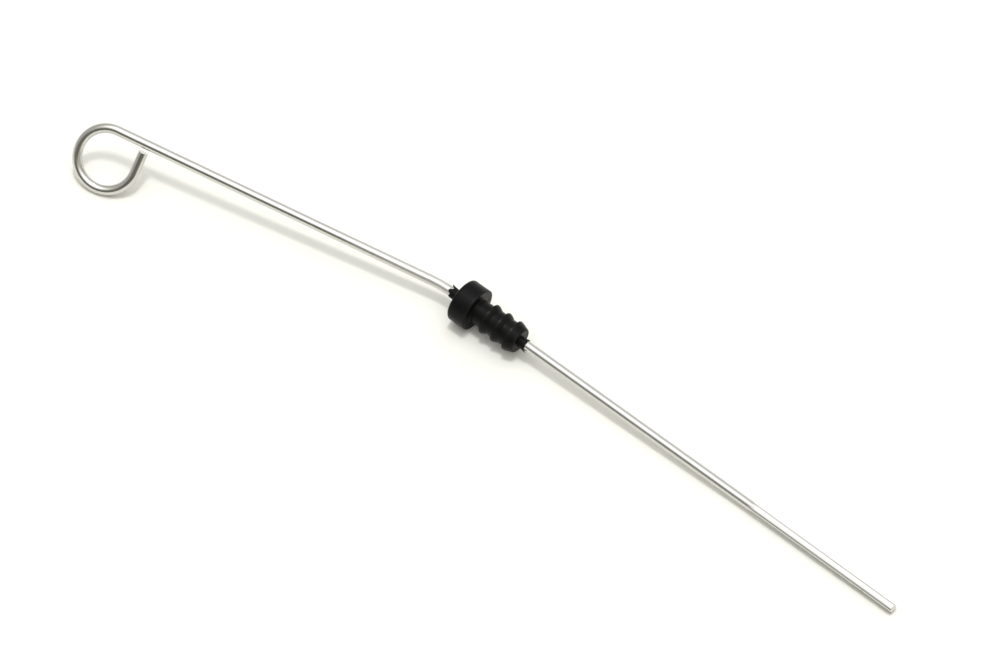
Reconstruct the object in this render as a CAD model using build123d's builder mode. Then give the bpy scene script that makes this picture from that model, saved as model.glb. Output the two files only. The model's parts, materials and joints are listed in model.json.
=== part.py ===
from build123d import *
from math import asin, atan2, cos, degrees, pi, radians, sin, sqrt
import os

os.makedirs("parts", exist_ok=True)

# Engine oil dipstick: one bent steel wire with a pull loop, and a rubber stopper moulded round it.
# It lies on the floor z = 0 on three points: the loop, the front edge of the stopper's head and the tip.
# The straight lower wire runs along +X, and the upper wire turns off towards -Y. Millimetres and degrees.

# Wire
wire_diameter = 4.0
lower_length = 215.2     # back face of the stopper's head to the tip
bend_setback = 9.4       # the bend's corner behind that face
bend_radius = 45.0       # centre line
bend_in_plan = 12.3      # turn of the upper wire, seen from above
upper_length = 143.5     # bend's corner to the start of the loop

# Pull loop
loop_radius = 12.3       # centre line
loop_lean = 44.8         # the loop's plane hangs down from the level by this much
leg_to_shank = 87.8      # angle at which the free leg points at the shank
loop_gap = 1.4           # free end to the shank

# Measuring end, pressed flat from the wire
blade_thickness = 3.0
blade_length = 68.0
blade_roll = 33.0        # the flats' normal above the level
step_length = 3.6        # round to flat
mark_spacing = 22.0      # the two level grooves, apart
mark_from_tip = 14.0     # the lower groove
mark_width = 0.8
mark_depth = 0.3
cut_edge = 0.2           # broken edge at both sheared ends

# Rubber stopper, along its axis from the head's back face
head_diameter = 18.2
head_length = 8.4
back_edge = 1.8          # rounding of the head towards the loop
front_edge = 0.3         # chamfer towards the barbs
neck_diameter = 10.3
neck_length = 5.8
barb_diameter = 13.1
barb_count = 3
barb_pitch = 5.8
barb_land = 0.5
barb_taper = 2.3
root_diameter = 10.7     # between the barbs
nose_diameter = 10.5
nose_length = 3.8        # taper beyond the last barb's land
nose_edge = 0.7
bore_clearance = 0.02    # on the radius, round the wire
flash_wall = 0.25        # torn moulding skin left round the wire at both ends
upper_flash = 4.6
lower_flash = 3.8
tear_count = 4           # notches torn into each skin, every second one shallower
deep_tear = 1.8
shallow_tear = 1.1
tear_width = 1.6

# Sections
wire_radius = wire_diameter / 2
head_radius = head_diameter / 2
bore_radius = wire_radius + bore_clearance
flash_radius = bore_radius + flash_wall
# Pressing keeps the wire's area, so the flat's width follows from its thickness
blade_width = blade_thickness + pi / 4 * (wire_diameter**2 - blade_thickness**2) / blade_thickness
# Height of the flat's lowest edge below the axis, and the same above it
blade_drop = blade_thickness / 2 + (blade_width - blade_thickness) / 2 * cos(radians(blade_roll))

# Slope of the lower wire: the head's front edge and the tip both touch the floor
slope = atan2(head_radius - blade_drop, lower_length - head_length + front_edge)
lower_dir = Vector(cos(slope), 0, -sin(slope))
head_height = blade_drop * cos(slope) + lower_length * sin(slope)
bend_height = head_height + bend_setback * sin(slope)

# Rise of the upper wire: just enough for the leaning loop to touch the floor
lean = radians(loop_lean)
rise = 0
for _ in range(20):
    reach = loop_radius * (sin(lean) * cos(rise) + sqrt(1 - (cos(lean) * cos(rise)) ** 2))
    rise = asin((wire_radius + reach - bend_height) / upper_length)

# Directions of the upper wire and of the loop: level sideways, up, and from the shank to the loop's middle
turn = radians(bend_in_plan)
upper_dir = Vector(-cos(rise) * cos(turn), -cos(rise) * sin(turn), sin(rise))
sideways = Vector(sin(turn), -cos(turn), 0)
upwards = Vector(sin(rise) * cos(turn), sin(rise) * sin(turn), cos(rise))
inward = sideways * cos(lean) - upwards * sin(lean)
loop_normal = upper_dir.cross(inward)

# The middle of the lying part stands over the origin
bend_from_head = lower_dir * -bend_setback
middle_from_head = bend_from_head + upper_dir * upper_length + inward * loop_radius
loop_left = middle_from_head.X - loop_radius * sqrt(1 - loop_normal.X**2) - wire_radius
loop_front = middle_from_head.Y - loop_radius * sqrt(1 - loop_normal.Y**2) - wire_radius
tip_right = lower_length * cos(slope) + blade_drop * sin(slope)
head_centre = Vector(-(loop_left + tip_right) / 2, -(loop_front + head_radius) / 2, head_height)

bend_corner = head_centre + bend_from_head
loop_start = bend_corner + upper_dir * upper_length
blade_start = head_centre + lower_dir * (lower_length - blade_length)
step_start = blade_start - lower_dir * step_length
tip = head_centre + lower_dir * lower_length

# The free leg runs on from the loop and stops short of the shank
loop_turn = 180 + leg_to_shank
loop_end = radians(loop_turn)
leg_room = loop_radius * (1 - cos(loop_end)) - wire_radius * (1 + abs(cos(loop_end))) - loop_gap
leg_length = -leg_room / sin(loop_end)

loop_plane = Plane(origin=loop_start, x_dir=upper_dir, z_dir=loop_normal)
# Across the measuring end: local X along the flat's width, local Y square to the flats
roll = radians(blade_roll)
flat_across = Vector(-sin(slope) * cos(roll), sin(roll), -cos(slope) * cos(roll))


def across_blade(origin):
    return Plane(origin=origin, x_dir=flat_across, z_dir=lower_dir)


# The wire, from its free end through loop, shank and bend to the measuring end
with BuildPart() as dipstick_wire:
    with BuildLine(loop_plane) as loop_line:
        loop_arc = JernArc((0, 0), (1, 0), loop_radius, loop_turn)
        leg = Line(loop_arc @ 1, loop_arc @ 1 + (loop_arc % 1) * leg_length)
    with BuildLine() as centre_line:
        FilletPolyline(step_start, bend_corner, loop_start, radius=bend_radius)
        add(loop_line.line)
    with BuildSketch(Plane(origin=step_start, z_dir=-lower_dir)):
        Circle(wire_radius)
    sweep(path=centre_line.line)

    # Step from round to flat: the circle is split where the flat's corners come from
    corner = degrees(atan2(blade_thickness, blade_width - blade_thickness))
    with BuildSketch(across_blade(step_start)) as round_end:
        with BuildLine():
            CenterArc((0, 0), wire_radius, -corner, 2 * corner)
            CenterArc((0, 0), wire_radius, corner, 180 - 2 * corner)
            CenterArc((0, 0), wire_radius, 180 - corner, 2 * corner)
            CenterArc((0, 0), wire_radius, 180 + corner, 180 - 2 * corner)
        make_face()
    with BuildSketch(across_blade(blade_start)) as flat_end:
        SlotOverall(blade_width, blade_thickness)
    loft(sections=[round_end.sketch, flat_end.sketch])
    with BuildSketch(across_blade(blade_start)):
        SlotOverall(blade_width, blade_thickness)
    extrude(amount=blade_length)

    # Level grooves, pressed across the underside flat
    flat_under = across_blade(tip).y_dir * (-blade_thickness / 2)
    for from_tip in (mark_from_tip, mark_from_tip + mark_spacing):
        groove_at = tip - lower_dir * from_tip + flat_under
        with BuildSketch(Plane(origin=groove_at, x_dir=lower_dir, z_dir=flat_across)):
            with BuildLine():
                Polyline((-mark_width / 2, 0), (mark_width / 2, 0), (0, mark_depth), close=True)
            make_face()
        extrude(amount=blade_width, both=True, mode=Mode.SUBTRACT)

    # Sheared ends, with their edges broken
    free_face = dipstick_wire.faces().sort_by_distance(leg @ 1)[0]
    tip_face = dipstick_wire.faces().sort_by_distance(tip)[0]
    chamfer(free_face.edges() + tip_face.edges(), cut_edge)

dipstick_wire.part.label = "dipstick_wire"
export_step(dipstick_wire.part, "parts/dipstick_wire.step")

# The stopper: a turned profile of head, neck, barbs and nose, with a skin of flash at both ends
stopper_plane = Plane(origin=head_centre, x_dir=lower_dir, z_dir=(0, -1, 0))
first_barb = head_length + neck_length
last_land = first_barb + (barb_count - 1) * barb_pitch + barb_land
nose_end = last_land + nose_length
profile = [
    (-upper_flash, bore_radius),
    (-upper_flash, flash_radius),
    (0, flash_radius),
    (0, head_radius),
    (head_length, head_radius),
    (head_length, neck_diameter / 2),
]
for barb in range(barb_count):
    barb_at = first_barb + barb * barb_pitch
    profile += [
        (barb_at, (root_diameter if barb else neck_diameter) / 2),
        (barb_at, barb_diameter / 2),
        (barb_at + barb_land, barb_diameter / 2),
    ]
    if barb < barb_count - 1:
        profile.append((barb_at + barb_land + barb_taper, root_diameter / 2))
profile += [
    (nose_end, nose_diameter / 2),
    (nose_end, flash_radius),
    (nose_end + lower_flash, flash_radius),
    (nose_end + lower_flash, bore_radius),
]

with BuildPart() as rubber_stopper:
    with BuildSketch(stopper_plane) as section:
        with BuildLine():
            Polyline(*profile, close=True)
        make_face()
        fillet(section.vertices().group_by(Axis.Y)[-1].sort_by(Axis.X)[0], back_edge)
        chamfer(section.vertices().group_by(Axis.Y)[-1].sort_by(Axis.X)[-1], front_edge)
        fillet(section.vertices().filter_by_position(Axis.X, nose_end, nose_end).sort_by(Axis.Y)[-1], nose_edge)
    revolve(axis=Axis(head_centre, lower_dir))

    # Each tear is a notch that opens at the skin's ragged end and points along the axis
    for end, inwards in ((-upper_flash, 1), (nose_end + lower_flash, -1)):
        for tear in range(tear_count):
            depth = inwards * (shallow_tear if tear % 2 else deep_tear)
            outwards = stopper_plane.rotated((360 * (tear + 0.3) / tear_count, 0, 0)).y_dir
            with BuildSketch(Plane(origin=head_centre + lower_dir * end, x_dir=lower_dir, z_dir=outwards)):
                with BuildLine():
                    Polyline((0, -tear_width / 2), (0, tear_width / 2), (depth, 0), close=True)
                make_face()
            extrude(amount=2 * flash_radius, mode=Mode.SUBTRACT)

rubber_stopper.part.label = "rubber_stopper"
export_step(rubber_stopper.part, "parts/rubber_stopper.step")
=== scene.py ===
import json
import bpy
import numpy as np
from mathutils import Matrix, Vector


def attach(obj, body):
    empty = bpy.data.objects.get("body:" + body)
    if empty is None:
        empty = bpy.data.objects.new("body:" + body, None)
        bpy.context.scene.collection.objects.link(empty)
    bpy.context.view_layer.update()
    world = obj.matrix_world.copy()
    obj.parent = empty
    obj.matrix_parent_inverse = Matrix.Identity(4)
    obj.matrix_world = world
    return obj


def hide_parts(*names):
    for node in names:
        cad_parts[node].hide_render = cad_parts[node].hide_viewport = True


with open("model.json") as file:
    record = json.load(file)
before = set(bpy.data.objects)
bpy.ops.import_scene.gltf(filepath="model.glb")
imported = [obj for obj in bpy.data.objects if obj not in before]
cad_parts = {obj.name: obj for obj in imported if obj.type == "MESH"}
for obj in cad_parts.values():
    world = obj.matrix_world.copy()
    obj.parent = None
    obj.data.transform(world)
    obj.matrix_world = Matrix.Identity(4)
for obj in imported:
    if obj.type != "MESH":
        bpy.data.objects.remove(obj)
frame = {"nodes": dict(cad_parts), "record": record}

scene = bpy.context.scene
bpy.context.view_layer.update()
mounts = {mount["name"]: mount for mount in frame["record"]["mounts"]}
print("frame loaded:", ", ".join(sorted(frame["nodes"])))

# Lengths are worked out in millimetres and put into the meshes in metres
metresPerMm = 0.001


# Each vector over its own length
def unit(vectors):
    return vectors / np.linalg.norm(vectors, axis=-1, keepdims=True)


# Soft step: 3t^2 - 2t^3 between 0 and 1
def softStep(t):
    t = np.clip(t, 0, 1)
    return t * t * (3 - 2 * t)


# Way along a line of points: the running sum of the distances between them
def wayAlong(points):
    return np.append(0.0, np.cumsum(np.linalg.norm(np.diff(points, axis=0), axis=1)))


# rings[i, j] is point j of ring i. Each ring closes on itself. The ends close on one pole each,
# or with no poles the last ring joins the first.
def putGrid(name, rings, poles=None, **attributes):
    rows, columns = rings.shape[:2]
    here = np.arange(rows * columns).reshape(rows, columns)
    beside = np.roll(here, -1, axis=1)
    points = rings.reshape(-1, 3)
    if poles is None:
        quads = np.stack([here, beside, np.roll(beside, -1, axis=0), np.roll(here, -1, axis=0)], -1)
        caps = []
    else:
        quads = np.stack([here[:-1], beside[:-1], beside[1:], here[1:]], -1)
        startPole = np.full(columns, rows * columns)
        caps = np.concatenate([
            np.stack([beside[0], here[0], startPole], -1),
            np.stack([here[-1], beside[-1], startPole + 1], -1),
        ]).tolist()
        points = np.concatenate([points, poles])
    mesh = bpy.data.meshes.new(name)
    mesh.from_pydata((points * metresPerMm).tolist(), [], quads.reshape(-1, 4).tolist() + caps)
    mesh.polygons.foreach_set("use_smooth", np.ones(len(mesh.polygons), bool))
    for label, values in attributes.items():
        isVector = values.ndim == 2
        attribute = mesh.attributes.new(label, "FLOAT_VECTOR" if isVector else "FLOAT", "POINT")
        attribute.data.foreach_set("vector" if isVector else "value", values.astype(np.float32).ravel())
    mesh.update()
    piece = bpy.data.objects.new(name, mesh)
    scene.collection.objects.link(piece)
    print(f"{name}: {len(mesh.vertices)} points, {len(mesh.polygons)} faces")
    return piece


# sRGB hex to linear red, green, blue and alpha
def linearColour(hexCode):
    srgb = np.array([int(hexCode[i:i + 2], 16) for i in (1, 3, 5)]) / 255
    linear = np.where(srgb <= 0.04045, srgb / 12.92, ((srgb + 0.055) / 1.055) ** 2.4)
    return (*linear.tolist(), 1.0)


# Adds one node: settings are its own options or fixed sockets, links say which output feeds which socket
def addNode(tree, kind, settings=None, links=None):
    node = tree.nodes.new(kind)
    for key, value in (settings or {}).items():
        if isinstance(key, str) and hasattr(node, key):
            setattr(node, key, value)
        else:
            node.inputs[key].default_value = value
    for socket, output in (links or {}).items():
        tree.links.new(output, node.inputs[socket])
    return node


# An empty material and its node tree
def newMaterial(name):
    material = bpy.data.materials.new(name)
    material.use_nodes = True
    material.node_tree.nodes.clear()
    return material, material.node_tree


# Wire

dipstickWire = {  # millimetres and degrees
    "diameter": 4.0,
    "headLength": 8.4,           # the stopper's head, from its seat to its back
    "lowerLength": 215.2,        # back of the stopper's head to the tip
    "bendSetback": 9.4,          # corner of the bend behind the head
    "bendRadius": 45.0,
    "bendInPlan": 12.3,          # turn of the upper wire, seen from above
    "upperLength": 143.5,        # corner of the bend to the start of the loop
    "loopRadius": 12.3,
    "loopLean": 44.8,            # the loop hangs down from the level by this much
    "legToShank": 87.8,          # angle at which the free leg points at the shank
    "loopGap": 1.4,              # free end to the shank
    "bladeHalf": (2.12, 1.72),   # half width and half thickness of the flat end
    "bladePower": 3.6,           # 2 is an ellipse, more is squarer
    "bladeLength": 68.0,
    "bladeRoll": 23.0,           # the flats' normal above the level
    "stepLength": 3.6,           # round to flat
    "bow": 0.28,                 # the lower wire's middle lies this far off a straight line
    "setOver": 0.13,             # pressing pushed its end aside by this much
    "setOverAt": (60.0, 130.0),  # from the tip
    "dip": 1.4,                  # the step to the flat would lie this much lower with a sharp corner there
    "dipAside": 0.71,            # and this far towards the back
    "dipAt": (2.0, 182.0),       # where the dip ends and begins, from the tip
    "dipCorner": 0.1,            # rounding of that corner: half this share of the dip is lost
    "grooves": (14.0, 36.0),     # level marks on the underside, from the tip
    "grooveWidth": 0.8,
    "grooveDepth": 0.3,
    "tipRounding": 0.35,
    "endRounding": 0.12,         # free end at the loop
    "scuffed": (190.0, 205.0, 228.0, 285.0),  # begins, is full, fades and ends, from the tip
    "columns": 80,
    "stations": {"blade": 40, "groove": 13, "step": 25, "lower": 48,
                 "bend": 26, "upper": 44, "loop": 150, "leg": 8},
    "grooveSpan": 0.6,           # stations stand closer within this distance of a groove
    "roundingSteps": 8,          # on the edges of both cut ends
    "capRings": (0.4, 0.8),      # rings on both cut faces, as shares of the section
}

# The mount on the stopper's seat gives the axis and the middle of the head's back face
headLength = dipstickWire["headLength"]
axis = unit(np.array(mounts["tube_seat"]["axis"]))
headCentre = np.array(mounts["tube_seat"]["pos_m"]) / metresPerMm - axis * headLength
levelSide = np.array([0.0, 1.0, 0.0])
skyward = np.array([0.0, 0.0, 1.0])
axisUp = np.cross(axis, levelSide)

wireRadius = dipstickWire["diameter"] / 2
loopRadius = dipstickWire["loopRadius"]
lean = np.radians(dipstickWire["loopLean"])
turn = np.radians(dipstickWire["bendInPlan"])
tip = headCentre + axis * dipstickWire["lowerLength"]
bendCorner = headCentre - axis * dipstickWire["bendSetback"]

# The upper wire rises just enough for the leaning loop to touch the floor
rise = 0.0
for _ in range(20):  # settles well before the last round
    acrossLoop = np.sqrt(1 - (np.cos(lean) * np.cos(rise)) ** 2)
    reach = loopRadius * (np.sin(lean) * np.cos(rise) + acrossLoop)
    rise = np.arcsin((wireRadius + reach - bendCorner[2]) / dipstickWire["upperLength"])
upperDir = np.array([-np.cos(rise) * np.cos(turn), -np.cos(rise) * np.sin(turn), np.sin(rise)])
loopSide = np.array([np.sin(turn), -np.cos(turn), 0.0])
loopUp = np.array([np.sin(rise) * np.cos(turn), np.sin(rise) * np.sin(turn), np.cos(rise)])
loopInward = loopSide * np.cos(lean) - loopUp * np.sin(lean)


# Arc that leaves start along heading and turns towards inward:
# start + R (sin t heading + (1 - cos t) inward), with the tangent cos t heading + sin t inward
def arc(start, heading, inward, radius, t):
    t = t[:, None]
    return (start + radius * (np.sin(t) * heading + (1 - np.cos(t)) * inward),
            np.cos(t) * heading + np.sin(t) * inward)


# Straight run: start + distance times heading, with the heading as its tangent all along
def straight(start, heading, distance):
    return start + distance[:, None] * heading, np.tile(heading, (len(distance), 1))


bendAngle = np.arccos(-axis @ upperDir)
bendRoom = dipstickWire["bendRadius"] * np.tan(bendAngle / 2)
bendInward = unit(upperDir - axis * (axis @ upperDir))
lowerRun = dipstickWire["lowerLength"] + dipstickWire["bendSetback"] - bendRoom
loopTurn = np.pi + np.radians(dipstickWire["legToShank"])
legRoom = loopRadius * (1 - np.cos(loopTurn)) - wireRadius * (1 + abs(np.cos(loopTurn)))
legLength = (legRoom - dipstickWire["loopGap"]) / -np.sin(loopTurn)

# Stations along the lower wire, from the tip: close together at the grooves and the step, equal ones merged
stations = dipstickWire["stations"]
tipRounding, endRounding = dipstickWire["tipRounding"], dipstickWire["endRounding"]
bladeEnd = dipstickWire["bladeLength"]
stepEnd = bladeEnd + dipstickWire["stepLength"]
nearGroove = np.linspace(-dipstickWire["grooveSpan"], dipstickWire["grooveSpan"], stations["groove"])
lowerStations = np.unique(np.concatenate([
    np.linspace(tipRounding, bladeEnd, stations["blade"]),
    *(groove + nearGroove for groove in dipstickWire["grooves"]),
    np.linspace(bladeEnd, stepEnd, stations["step"]),
    np.linspace(stepEnd, lowerRun, stations["lower"]),
]).round(6))

# The edges of both cut ends are quarter circles: at angle t the station is R (1 - sin t) from the cut face,
# and the section is drawn in by R (1 - cos t)
roundingSteps = dipstickWire["roundingSteps"]
tipArc = np.radians(np.linspace(90, 0, roundingSteps + 1)[:-1])
endArc = np.radians(np.linspace(0, 90, roundingSteps)[1:])
tipStations = tipRounding * (1 - np.sin(tipArc))
legStations = np.linspace(0, legLength - endRounding, stations["leg"])
endStations = legLength - endRounding * (1 - np.sin(endArc))

# The wire's centre line, from the tip through bend, shank and loop to the free end.
# Both cut faces have two rings.
bendStart = bendCorner + axis * bendRoom
loopStart = bendCorner + upperDir * dipstickWire["upperLength"]
loopEnd, legDir = (end[0] for end in arc(loopStart, upperDir, loopInward, loopRadius, np.array([loopTurn])))
bendTurns = np.linspace(0, bendAngle, stations["bend"])[1:]
upperStations = np.linspace(bendRoom, dipstickWire["upperLength"], stations["upper"])[1:]
loopTurns = np.linspace(0, loopTurn, stations["loop"])[1:]
runs = [
    straight(tip, -axis, np.concatenate([[0.0, 0.0], tipStations, lowerStations])),
    arc(bendStart, -axis, bendInward, dipstickWire["bendRadius"], bendTurns),
    straight(bendCorner, upperDir, upperStations),
    arc(loopStart, upperDir, loopInward, loopRadius, loopTurns),
    straight(loopEnd, legDir, np.concatenate([legStations[1:], endStations, [legLength, legLength]])),
]
spine = np.concatenate([points for points, _ in runs])
tangent = np.concatenate([headings for _, headings in runs])
alongWire = wayAlong(spine)

# The lower wire bows towards the back: half a sine wave between the head and the tip,
# and a soft step near the flat
bowWay = np.clip(alongWire / dipstickWire["lowerLength"], 0, 1)
setFrom, setTo = dipstickWire["setOverAt"]
aside = (dipstickWire["bow"] * np.sin(np.pi * bowWay)
         + dipstickWire["setOver"] * (1 - softStep((alongWire - setFrom) / (setTo - setFrom))))

# From the stopper's nose the wire runs a little steeper to the step, and from there it lies flatter to
# the tip: the lesser of two straight lines, with their corner rounded
dipTo, dipFrom = dipstickWire["dipAt"]
toStep = (alongWire - dipTo) / (stepEnd - dipTo)
fromNose = (dipFrom - alongWire) / (dipFrom - stepEnd)
dip = np.maximum(toStep + fromNose - np.hypot(toStep - fromNose, dipstickWire["dipCorner"]), 0) / 2
dipWay = dipstickWire["dipAside"] * levelSide - dipstickWire["dip"] * skyward
spine = spine + aside[:, None] * levelSide + dip[:, None] * dipWay

# Section at each station: x = a |cos q|^(2/n), y = b |sin q|^(2/n) with the signs of cos and sin,
# from a round wire (n = 2) to the pressed end (n over 2), and its size drawn in at both cut ends
pressed = 1 - softStep((alongWire - bladeEnd) / dipstickWire["stepLength"])
halfWidth, halfThickness = (wireRadius + (half - wireRadius) * pressed for half in dipstickWire["bladeHalf"])
power = 2 + (dipstickWire["bladePower"] - 2) * pressed
drawnIn = np.zeros(len(alongWire))
drawnIn[[0, 1]] = tipRounding
drawnIn[2:2 + len(tipArc)] = tipRounding * (1 - np.cos(tipArc))
drawnIn[-2 - len(endArc):-2] = endRounding * (1 - np.cos(endArc))
drawnIn[[-1, -2]] = endRounding
capScale = np.ones(len(alongWire))
capScale[[0, 1]] = capScale[[-1, -2]] = dipstickWire["capRings"]


# Power of the size, with the sign kept
def signedPower(values, exponent):
    return np.sign(values) * np.abs(values) ** exponent


q = -np.linspace(0, 2 * np.pi, dipstickWire["columns"], endpoint=False)
exponent = (2 / power)[:, None]
acrossFlat = ((halfWidth - drawnIn) * capScale)[:, None] * signedPower(np.cos(q), exponent)
squareToFlat = ((halfThickness - drawnIn) * capScale)[:, None] * signedPower(np.sin(q), exponent)
# V grooves: the underside is lifted to the groove's depth
grooveGap = np.min(np.abs(alongWire[:, None] - np.array(dipstickWire["grooves"])), axis=1)
grooveCut = dipstickWire["grooveDepth"] * np.clip(1 - grooveGap / (dipstickWire["grooveWidth"] / 2), 0, 1)
lifted = np.maximum(squareToFlat, (grooveCut - halfThickness)[:, None])
squareToFlat = np.where(grooveCut[:, None] > 0, lifted, squareToFlat)

# The section stands square to the wire, with its flat turned by the blade's roll from upright
roll = np.radians(dipstickWire["bladeRoll"])
sideways = unit(np.cross(tangent, skyward))
upright = np.cross(sideways, tangent)
flatDir = sideways * np.sin(roll) - upright * np.cos(roll)
flatNormal = sideways * np.cos(roll) + upright * np.sin(roll)
wireRings = (spine[:, None] + acrossFlat[:, :, None] * flatDir[:, None]
             + squareToFlat[:, :, None] * flatNormal[:, None])
wirePoles = np.stack([spine[0], spine[-1]])

# The wire as it was before bending, so that drawing lines follow it round the loop
straightened = np.stack([np.broadcast_to(alongWire[:, None], acrossFlat.shape), acrossFlat, squareToFlat], -1)
poleSpace = np.array([[0.0, 0.0, 0.0], [alongWire[-1], 0.0, 0.0]])
# Scuffed plating: 1 at the bend, where the stopper was pushed on, fading out along the upper wire
scuffBegins, scuffFull, scuffFades, scuffEnds = dipstickWire["scuffed"]
scuffed = (softStep((alongWire - scuffBegins) / (scuffFull - scuffBegins))
           * softStep((scuffEnds - alongWire) / (scuffEnds - scuffFades)))
scuffed = np.append(np.repeat(scuffed, dipstickWire["columns"]), [0.0, 0.0])
wirePiece = putGrid("plated_wire", wireRings, wirePoles, scuffed=scuffed,
                    straightened=np.concatenate([straightened.reshape(-1, 3), poleSpace]))


# Rubber stopper

rubberStopper = {  # millimetres along the axis from the head's back face, and radii
    "headRadius": 9.06,
    "backEdge": 1.3,
    "frontEdge": 0.35,
    "neckRadius": 5.14,
    "neckLength": 5.8,
    "neckRounding": 0.5,       # where the neck meets the head
    "barbRadius": 6.56,
    "barbPitch": 5.8,
    "barbCount": 3,
    "barbLean": 0.15,          # the barb's back face leans by this much
    "barbFoot": 0.4,           # rounding at the foot of that face
    "barbEdge": 0.12,
    "landLength": 0.94,
    "landFall": 0.19,
    "landEdge": 0.25,
    "taperLength": 1.92,
    "taperRounding": 1.4,
    "rootRadius": 5.36,
    "noseRadius": 5.24,
    "noseEnd": 30.1,
    "noseEdge": 0.77,
    "boreRadius": 2.02,
    "skinRadius": 2.27,        # torn moulding skin round the wire
    "skinRoot": 0.6,           # this much of each skin belongs to the turned body
    "skinFoot": (0.35, 0.3),   # rounding where it meets the head and the nose
    "skinThinning": 0.65,      # share of its thickness that is gone at the edge
    "skinRings": 16,
    "columns": 288,
    # Torn teeth of the skins: degrees from the top towards -Y, reach, flare outwards, half width in degrees
    "upperLow": 4.3,           # reach between the teeth
    "upperTeeth": ((-58, 5.9, 0.6, 24), (22, 5.5, 0.15, 34), (88, 4.7, 0.1, 30), (140, 4.6, 0.2, 30),
                   (190, 4.9, 0.15, 28), (244, 5.0, 0.25, 30)),
    "lowerLow": 2.8,
    "lowerTeeth": ((-54, 3.1, 0.35, 24), (6, 3.2, 0.1, 40), (60, 3.2, 0.1, 32), (108, 4.3, 0.6, 26),
                   (172, 3.4, 0.2, 34), (236, 3.5, 0.2, 36)),
    "toothBluntness": 1.4,     # 1 is a pointed tooth, more is blunter
    # Slow waves of the outer rims: number round the rim, turn in radians per mm of axis, share of the height
    "waveHeight": 0.02,
    "waveFrom": 4.0,           # radius from which they rise
    "waves": ((3, 0.6, 1.0), (7, 1.3, 0.7)),
    "rubbedWidth": 0.6,        # of the paler rims, which are painted highlight together with handling wear
    "rubbedNose": 0.3,         # that of the nose lies this far before its end
    "rubbedBarb": 0.45,        # and that of a barb this far past its back face
}


# Profile with rounded corners: each corner (s, r, rounding) becomes an arc of that radius, as a part of the
# circle that touches both of its sides, and long sides get points in between
def roundedProfile(corners, arcPoints=9, longest=1.0, sameSpot=1e-6, tiny=1e-12):
    corners = np.array(corners, float)
    place, rounding = corners[:, :2], corners[:, 2]
    heading = unit(np.diff(place, axis=0))
    into, out = heading[:-1], heading[1:]
    angle = np.arccos(np.clip((into * out).sum(1), -1, 1))
    room = rounding[1:-1] * np.tan(angle / 2)
    inward = unit(out - into * (into * out).sum(1)[:, None] + tiny)  # never divides by 0
    t = np.linspace(0, 1, arcPoints)[None, :, None] * angle[:, None, None]
    begin = place[1:-1] - into * room[:, None]
    arcs = begin[:, None] + rounding[1:-1, None, None] * (
        np.sin(t) * into[:, None] + (1 - np.cos(t)) * inward[:, None])
    line = np.concatenate([place[:1], arcs.reshape(-1, 2), place[-1:]])
    apart = np.linalg.norm(np.diff(line, axis=0), axis=1) > sameSpot
    line = line[np.append(True, apart)]
    distance = wayAlong(line)
    gaps = np.diff(distance)
    pieces = np.maximum(1, np.ceil(gaps / longest).astype(int))
    number = np.arange(pieces.sum()) - np.repeat(np.cumsum(pieces) - pieces, pieces)
    finer = np.repeat(distance[:-1], pieces) + number / np.repeat(pieces, pieces) * np.repeat(gaps, pieces)
    finer = np.append(finer, distance[-1])
    return np.stack([np.interp(finer, distance, line[:, 0]), np.interp(finer, distance, line[:, 1])], 1)


headRadius, neckRadius = rubberStopper["headRadius"], rubberStopper["neckRadius"]
barbRadius, rootRadius = rubberStopper["barbRadius"], rubberStopper["rootRadius"]
skinRadius, boreRadius = rubberStopper["skinRadius"], rubberStopper["boreRadius"]
skinRoot, noseEnd = rubberStopper["skinRoot"], rubberStopper["noseEnd"]
upperFoot, lowerFoot = rubberStopper["skinFoot"]
firstBarb = headLength + rubberStopper["neckLength"]
barbPlaces = [firstBarb + barb * rubberStopper["barbPitch"] for barb in range(rubberStopper["barbCount"])]
corners = [
    (-skinRoot, skinRadius, 0),
    (0, skinRadius, upperFoot),
    (0, headRadius, rubberStopper["backEdge"]),
    (headLength, headRadius, rubberStopper["frontEdge"]),
    (headLength, neckRadius, rubberStopper["neckRounding"]),
]
for barbAt in barbPlaces:
    landEnd = barbAt + rubberStopper["landLength"]
    footRadius = neckRadius if barbAt == firstBarb else rootRadius
    corners += [
        (barbAt - rubberStopper["barbLean"], footRadius, rubberStopper["barbFoot"]),
        (barbAt, barbRadius, rubberStopper["barbEdge"]),
        (landEnd, barbRadius - rubberStopper["landFall"], rubberStopper["landEdge"]),
    ]
    if barbAt != barbPlaces[-1]:  # the last barb runs out into the nose
        corners.append((landEnd + rubberStopper["taperLength"], rootRadius, rubberStopper["taperRounding"]))
corners += [
    (noseEnd, rubberStopper["noseRadius"], rubberStopper["noseEdge"]),
    (noseEnd, skinRadius, lowerFoot),
    (noseEnd + skinRoot, skinRadius, 0),
]
body = roundedProfile(corners)

columns = rubberStopper["columns"]
around = np.linspace(0, 2 * np.pi, columns, endpoint=False)


# Torn edge: straight-sided teeth with blunt tops at given angles, between which lies the low edge
def tornEdge(low, teeth):
    angle, reach, flare, half = np.array(teeth, float).T
    apart = np.abs((np.degrees(around)[:, None] - angle + 180) % 360 - 180)
    tooth = np.clip(rubberStopper["toothBluntness"] * (1 - apart / half), 0, 1)
    return low + ((reach - low) * tooth).max(1), (flare * tooth ** 2).max(1)


upperReach, upperFlare = tornEdge(rubberStopper["upperLow"], rubberStopper["upperTeeth"])
lowerReach, lowerFlare = tornEdge(rubberStopper["lowerLow"], rubberStopper["lowerTeeth"])
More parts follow.
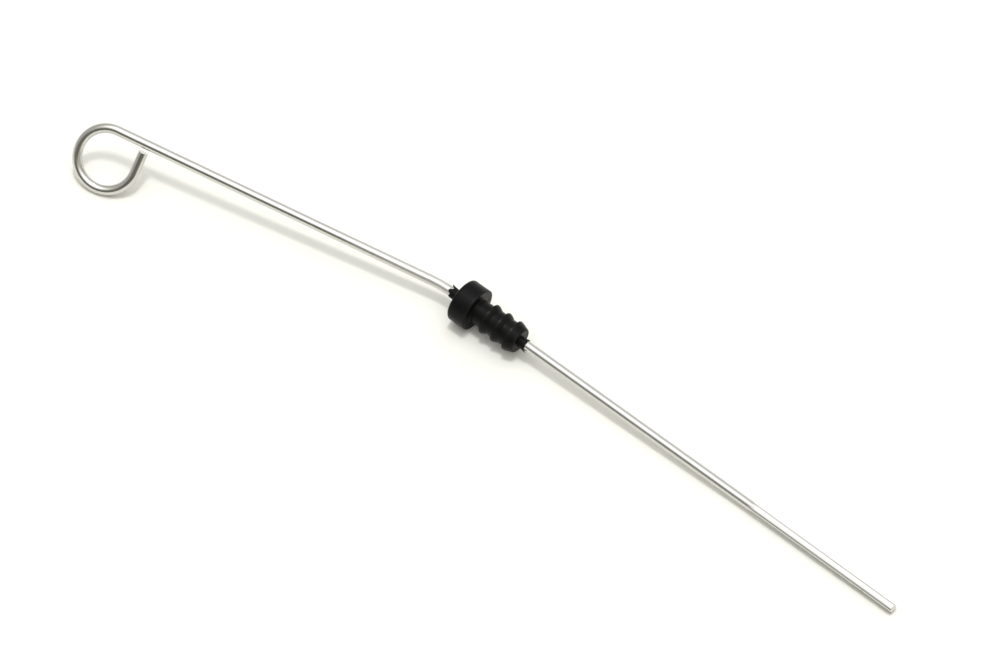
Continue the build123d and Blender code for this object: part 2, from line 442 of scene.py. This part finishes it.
# Skin from root to edge: it runs along the wire, flares with the square of its way out and thins to the edge
out = np.linspace(0, 1, rubberStopper["skinRings"])[:, None]
thickness = (skinRadius - boreRadius) * (1 - rubberStopper["skinThinning"] * out ** 3)
upperAlong = -skinRoot - (upperReach - skinRoot) * out
lowerAlong = noseEnd + skinRoot + (lowerReach - skinRoot) * out
upperInside = boreRadius + upperFlare * out ** 2
lowerInside = boreRadius + lowerFlare * out ** 2
# Moulded rims are never quite round: slow waves of a few hundredths of a millimetre
bodyAlong = np.repeat(body[:, :1], columns, axis=1)
bodyRadius = np.repeat(body[:, 1:], columns, axis=1)
waves = sum(share * np.sin(number * around + twist * bodyAlong)
            for number, twist, share in rubberStopper["waves"])
waveRise = np.clip(bodyRadius - rubberStopper["waveFrom"], 0, 1)
bodyRadius = bodyRadius + rubberStopper["waveHeight"] * waveRise * waves
# Rings from the upper skin's edge over the body to the lower skin's edge, and back through the bore
alongAxis = np.concatenate([upperAlong[::-1], bodyAlong[1:-1], lowerAlong, lowerAlong[::-1], upperAlong])
fromAxis = np.concatenate([
    (upperInside + thickness)[::-1], bodyRadius[1:-1], lowerInside + thickness,
    lowerInside[::-1], upperInside])
outwards = np.cos(around)[:, None] * axisUp - np.sin(around)[:, None] * levelSide
stopperRings = headCentre + alongAxis[:, :, None] * axis + fromAxis[:, :, None] * outwards
# Paler rims, both painted highlight and wear from handling: 1 on the outer edges of head, barbs and nose,
# falling off as exp(-(distance / width)^2)
rims = np.array([
    (headLength, headRadius),
    (noseEnd - rubberStopper["rubbedNose"], rubberStopper["noseRadius"]),
    *((barbAt + rubberStopper["rubbedBarb"], barbRadius) for barbAt in barbPlaces),
])
rimWay = np.min(np.hypot(alongAxis[..., None] - rims[:, 0], fromAxis[..., None] - rims[:, 1]), axis=-1)
rubbed = np.exp(-(rimWay / rubberStopper["rubbedWidth"]) ** 2)
stopperPiece = putGrid("moulded_stopper", stopperRings, rubbed=rubbed.ravel())


# Materials

# Zinc-plated drawn steel: bright metal, a little yellow, soft mirror images drawn out along the wire
zincPlate = {
    "dark": "#CBCAC5",
    "pale": "#D5D4CF",
    "roughness": 0.17,
    "spread": (-0.05, 0.09),  # of the roughness, over the range below of the uneven pattern
    "uneven": (0.1, 0.45),
    "drawLine": 0.3,          # mm across; real drawing lines of 0.05 mm are drawn coarser so that they show
    "drawLength": 40.0,       # mm
    "drawDepth": 0.03,        # mm
    "drawBump": 0.05,
    "blotch": 6.0,            # mm, uneven brightness of the plating
    "scuff": 0.28,            # rougher by this much where it is scuffed
}
lineScale = (1 / zincPlate["drawLength"], 1 / zincPlate["drawLine"], 1 / zincPlate["drawLine"])
unevenLow, unevenHigh = zincPlate["uneven"]
smoothest, roughest = (zincPlate["roughness"] + spread for spread in zincPlate["spread"])
zincMaterial, tree = newMaterial("zinc_plated_drawn_steel")
wireSpace = addNode(tree, "ShaderNodeAttribute", {"attribute_name": "straightened"})
lineSpace = addNode(tree, "ShaderNodeVectorMath", {"operation": "MULTIPLY", 1: lineScale},
                    {0: wireSpace.outputs["Vector"]})
drawLines = addNode(tree, "ShaderNodeTexNoise", {"Scale": 1.0, "Detail": 2.0, "Roughness": 0.6},
                    {"Vector": lineSpace.outputs[0]})
blotches = addNode(tree, "ShaderNodeTexNoise", {"Scale": 1 / zincPlate["blotch"], "Detail": 3.0},
                   {"Vector": wireSpace.outputs["Vector"]})
unevenness = addNode(tree, "ShaderNodeMath", {"operation": "MULTIPLY"},
                     {0: drawLines.outputs[0], 1: blotches.outputs[0]})
roughness = addNode(tree, "ShaderNodeMapRange", {1: unevenLow, 2: unevenHigh, 3: smoothest, 4: roughest},
                    {0: unevenness.outputs[0]})
scuffs = addNode(tree, "ShaderNodeAttribute", {"attribute_name": "scuffed"})
roughness = addNode(tree, "ShaderNodeMath", {"operation": "MULTIPLY_ADD", 1: zincPlate["scuff"]},
                    {0: scuffs.outputs["Fac"], 2: roughness.outputs[0]})
tone = addNode(tree, "ShaderNodeMix", {
    "data_type": "RGBA", 6: linearColour(zincPlate["dark"]), 7: linearColour(zincPlate["pale"])},
    {0: blotches.outputs[0]})
lineBump = addNode(tree, "ShaderNodeBump", {
    "Strength": zincPlate["drawBump"], "Distance": zincPlate["drawDepth"] * metresPerMm},
    {"Height": drawLines.outputs[0]})
shader = addNode(tree, "ShaderNodeBsdfPrincipled", {"Metallic": 1.0}, {
    "Base Color": tone.outputs[2], "Roughness": roughness.outputs[0], "Normal": lineBump.outputs[0]})
addNode(tree, "ShaderNodeOutputMaterial", links={"Surface": shader.outputs[0]})
wirePiece.data.materials.append(zincMaterial)

# Moulded black rubber: matt, nearly black, finely mottled, with paler rims that are painted highlight as well
# as wear from handling
rubber = {
    "dark": "#0D0D0D",
    "pale": "#1C1C1B",
    "roughness": 0.32,
    "spread": (-0.06, 0.08),  # of the roughness, over the range below of the mottling
    "mottled": (0.3, 0.7),
    "specular": 0.085,
    "mottle": 1.6,            # mm
    "mottleShare": 0.35,      # of the mottling away from the rims
    "grain": 0.35,            # mm; a real moulded grain of 0.1 mm is drawn coarser so that it shows
    "grainDepth": 0.08,       # mm
    "grainBump": 0.25,
}
mottleScale, grainScale = (1 / (rubber[key] * metresPerMm) for key in ("mottle", "grain"))
mottleLow, mottleHigh = rubber["mottled"]
smoothest, roughest = (rubber["roughness"] + spread for spread in rubber["spread"])
rubberMaterial, tree = newMaterial("moulded_black_rubber")
place = addNode(tree, "ShaderNodeTexCoord").outputs["Object"]
mottle = addNode(tree, "ShaderNodeTexNoise", {"Scale": mottleScale, "Detail": 4.0, "Roughness": 0.6},
                 {"Vector": place})
grain = addNode(tree, "ShaderNodeTexNoise", {"Scale": grainScale, "Detail": 2.0}, {"Vector": place})
# Paler rims: painted highlight on the edges, together with handling wear, mixed in through the mottling
rubbedRims = addNode(tree, "ShaderNodeAttribute", {"attribute_name": "rubbed"})
mottledSheenAndWear = addNode(tree, "ShaderNodeMath", {"operation": "MULTIPLY"},
               {0: rubbedRims.outputs["Fac"], 1: mottle.outputs[0]})
paleness = addNode(tree, "ShaderNodeMath", {"operation": "MULTIPLY_ADD", 1: rubber["mottleShare"]},
                   {0: mottle.outputs[0], 2: mottledSheenAndWear.outputs[0]})
tone = addNode(tree, "ShaderNodeMix", {
    "data_type": "RGBA", 6: linearColour(rubber["dark"]), 7: linearColour(rubber["pale"])},
    {0: paleness.outputs[0]})
roughness = addNode(tree, "ShaderNodeMapRange", {1: mottleLow, 2: mottleHigh, 3: smoothest, 4: roughest},
                    {0: mottle.outputs[0]})
grainBump = addNode(tree, "ShaderNodeBump", {
    "Strength": rubber["grainBump"], "Distance": rubber["grainDepth"] * metresPerMm},
    {"Height": grain.outputs[0]})
shader = addNode(tree, "ShaderNodeBsdfPrincipled", {"Specular IOR Level": rubber["specular"]}, {
    "Base Color": tone.outputs[2], "Roughness": roughness.outputs[0], "Normal": grainBump.outputs[0]})
addNode(tree, "ShaderNodeOutputMaterial", links={"Surface": shader.outputs[0]})
stopperPiece.data.materials.append(rubberMaterial)
print("materials made")


# Floor and light

floorCover = {"size": 6000.0, "colour": (0.9, 0.895, 0.84)}   # mm, and how much light it sends back
halfFloor = floorCover["size"] / 2 * metresPerMm
floorCorners = [(x * halfFloor, y * halfFloor, 0) for x, y in ((-1, -1), (1, -1), (1, 1), (-1, 1))]
floorMesh = bpy.data.meshes.new("studio_floor")
floorMesh.from_pydata(floorCorners, [], [(0, 1, 2, 3)])
floor = bpy.data.objects.new("studio_floor", floorMesh)
scene.collection.objects.link(floor)

# Matt white paper: takes the soft shadow, and is lit just past white away from it
paperMaterial, tree = newMaterial("matt_white_paper")
paper = addNode(tree, "ShaderNodeBsdfDiffuse", {"Color": (*floorCover["colour"], 1)})
addNode(tree, "ShaderNodeOutputMaterial", links={"Surface": paper.outputs[0]})
floorMesh.materials.append(paperMaterial)

camera = {  # millimetres and degrees
    "elevation": 56.169,
    "azimuth": 39.906,
    "distance": 4000.0,
    "aim": (-8.497, 22.550, 0.067),
    "mmPerPixel": 0.388,
    "picture": (1000, 667),  # pixels
    "sensor": 36.0,
    "sightEnds": 20000.0,
}
azimuth, elevation = np.radians(camera["azimuth"]), np.radians(camera["elevation"])

# Studio: pale walls with patches, each laid over those before it. A patch is given by its way round from the
# camera in degrees to the right, its level and tint, the cosines of the way round at its edge and where it is
# full, and the sines of the elevation between which it begins and ends.
warm, plain = np.array([1.0, 0.99, 0.86]), np.array([1.0, 1.0, 1.03])
studio = {
    "walls": {"level": 0.62, "tint": warm},
    "window": {"level": 0.82, "tint": plain, "round": 152, "edge": (0.7, 0.95),
               "begins": (-2, -1), "ends": (1, 2)},
    "overhead": {"level": 1.75, "tint": plain, "round": 0, "edge": (-2, -1),
                 "begins": (0.7, 0.95), "ends": (1, 2)},
    "dimSide": {"level": 0.52, "tint": plain, "round": -80, "edge": (0.3, 0.95),
                "begins": (-2, -1), "ends": (0.55, 0.8)},
    "darkRoom": {"level": 0.18, "tint": warm, "round": -18, "edge": (0.6, 0.88),
                 "begins": (-0.05, 0.16), "ends": (0.58, 0.78)},
}
world = bpy.data.worlds.new("soft_studio")
scene.world = world
world.use_nodes = True
tree = world.node_tree
tree.nodes.clear()
direction = addNode(tree, "ShaderNodeTexCoord").outputs["Generated"]
height = addNode(tree, "ShaderNodeSeparateXYZ", links={0: direction}).outputs["Z"]
inPlan = addNode(tree, "ShaderNodeVectorMath", {"operation": "MULTIPLY", 1: (1, 1, 0)}, {0: direction})
inPlan = addNode(tree, "ShaderNodeVectorMath", {"operation": "NORMALIZE"}, {0: inPlan.outputs[0]})
smooth = {"interpolation_type": "SMOOTHSTEP", 3: 0.0, 4: 1.0}


# Light of a patch: its level times its tint
def glow(patch):
    return (*(patch["level"] * patch["tint"]).tolist(), 1.0)


light = {}
walls, *patches = studio.values()
for patch in patches:
    way = azimuth + np.radians(patch["round"])
    facing = addNode(tree, "ShaderNodeVectorMath", {
        "operation": "DOT_PRODUCT", 1: (np.sin(way), -np.cos(way), 0)}, {0: inPlan.outputs[0]})
    share = addNode(tree, "ShaderNodeMapRange", {**smooth, 1: patch["edge"][0], 2: patch["edge"][1]},
                    {0: facing.outputs["Value"]})
    for low, high in (patch["begins"], patch["ends"][::-1]):
        within = addNode(tree, "ShaderNodeMapRange", {**smooth, 1: low, 2: high}, {0: height})
        share = addNode(tree, "ShaderNodeMath", {"operation": "MULTIPLY"},
                        {0: share.outputs[0], 1: within.outputs[0]})
    laidOver = addNode(tree, "ShaderNodeMix", {"data_type": "RGBA", 6: glow(walls), 7: glow(patch)},
                       {0: share.outputs[0], **light})
    light = {6: laidOver.outputs[2]}
# The camera itself sees plain white behind the floor
lightPath = addNode(tree, "ShaderNodeLightPath")
shown = addNode(tree, "ShaderNodeMix", {"data_type": "RGBA", 7: (1, 1, 1, 1)},
                {0: lightPath.outputs["Is Camera Ray"], **light})
backdrop = addNode(tree, "ShaderNodeBackground", links={"Color": shown.outputs[2]})
addNode(tree, "ShaderNodeOutputWorld", links={"Surface": backdrop.outputs[0]})

# Main lamp within the soft light, small enough to draw the wire's shadow
mainLamp = {"towards": (0.0, 0.01, 1.0), "across": 9.0, "strength": 1.0}   # degrees across
lampData = bpy.data.lights.new("main_lamp", "SUN")
lampData.energy = mainLamp["strength"]
lampData.angle = np.radians(mainLamp["across"])
lamp = bpy.data.objects.new("main_lamp", lampData)
lamp.rotation_mode = "QUATERNION"
lamp.rotation_quaternion = Vector(mainLamp["towards"]).to_track_quat("Z", "Y")
scene.collection.objects.link(lamp)
print("floor and light made")


# Camera

towardsCamera = np.array([np.sin(azimuth) * np.cos(elevation), -np.cos(azimuth) * np.cos(elevation),
                          np.sin(elevation)])
rightward = np.array([np.cos(azimuth), np.sin(azimuth), 0.0])
upward = np.cross(towardsCamera, rightward)
stand = (np.array(camera["aim"]) + towardsCamera * camera["distance"]) * metresPerMm
lens = bpy.data.cameras.new("photo_view")
lens.sensor_width = camera["sensor"]
lens.lens = camera["sensor"] * camera["distance"] / (camera["picture"][0] * camera["mmPerPixel"])
lens.clip_end = camera["sightEnds"] * metresPerMm
cameraObject = bpy.data.objects.new("photo_view", lens)
scene.collection.objects.link(cameraObject)
turned = np.eye(4)
turned[:3] = np.column_stack([rightward, upward, towardsCamera, stand])
cameraObject.matrix_world = Matrix(turned.tolist())
scene.camera = cameraObject
scene.view_settings.view_transform = "Standard"
print("camera set")

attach(wirePiece, "root")
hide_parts("dipstick_wire")
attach(stopperPiece, "root")
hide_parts("rubber_stopper")
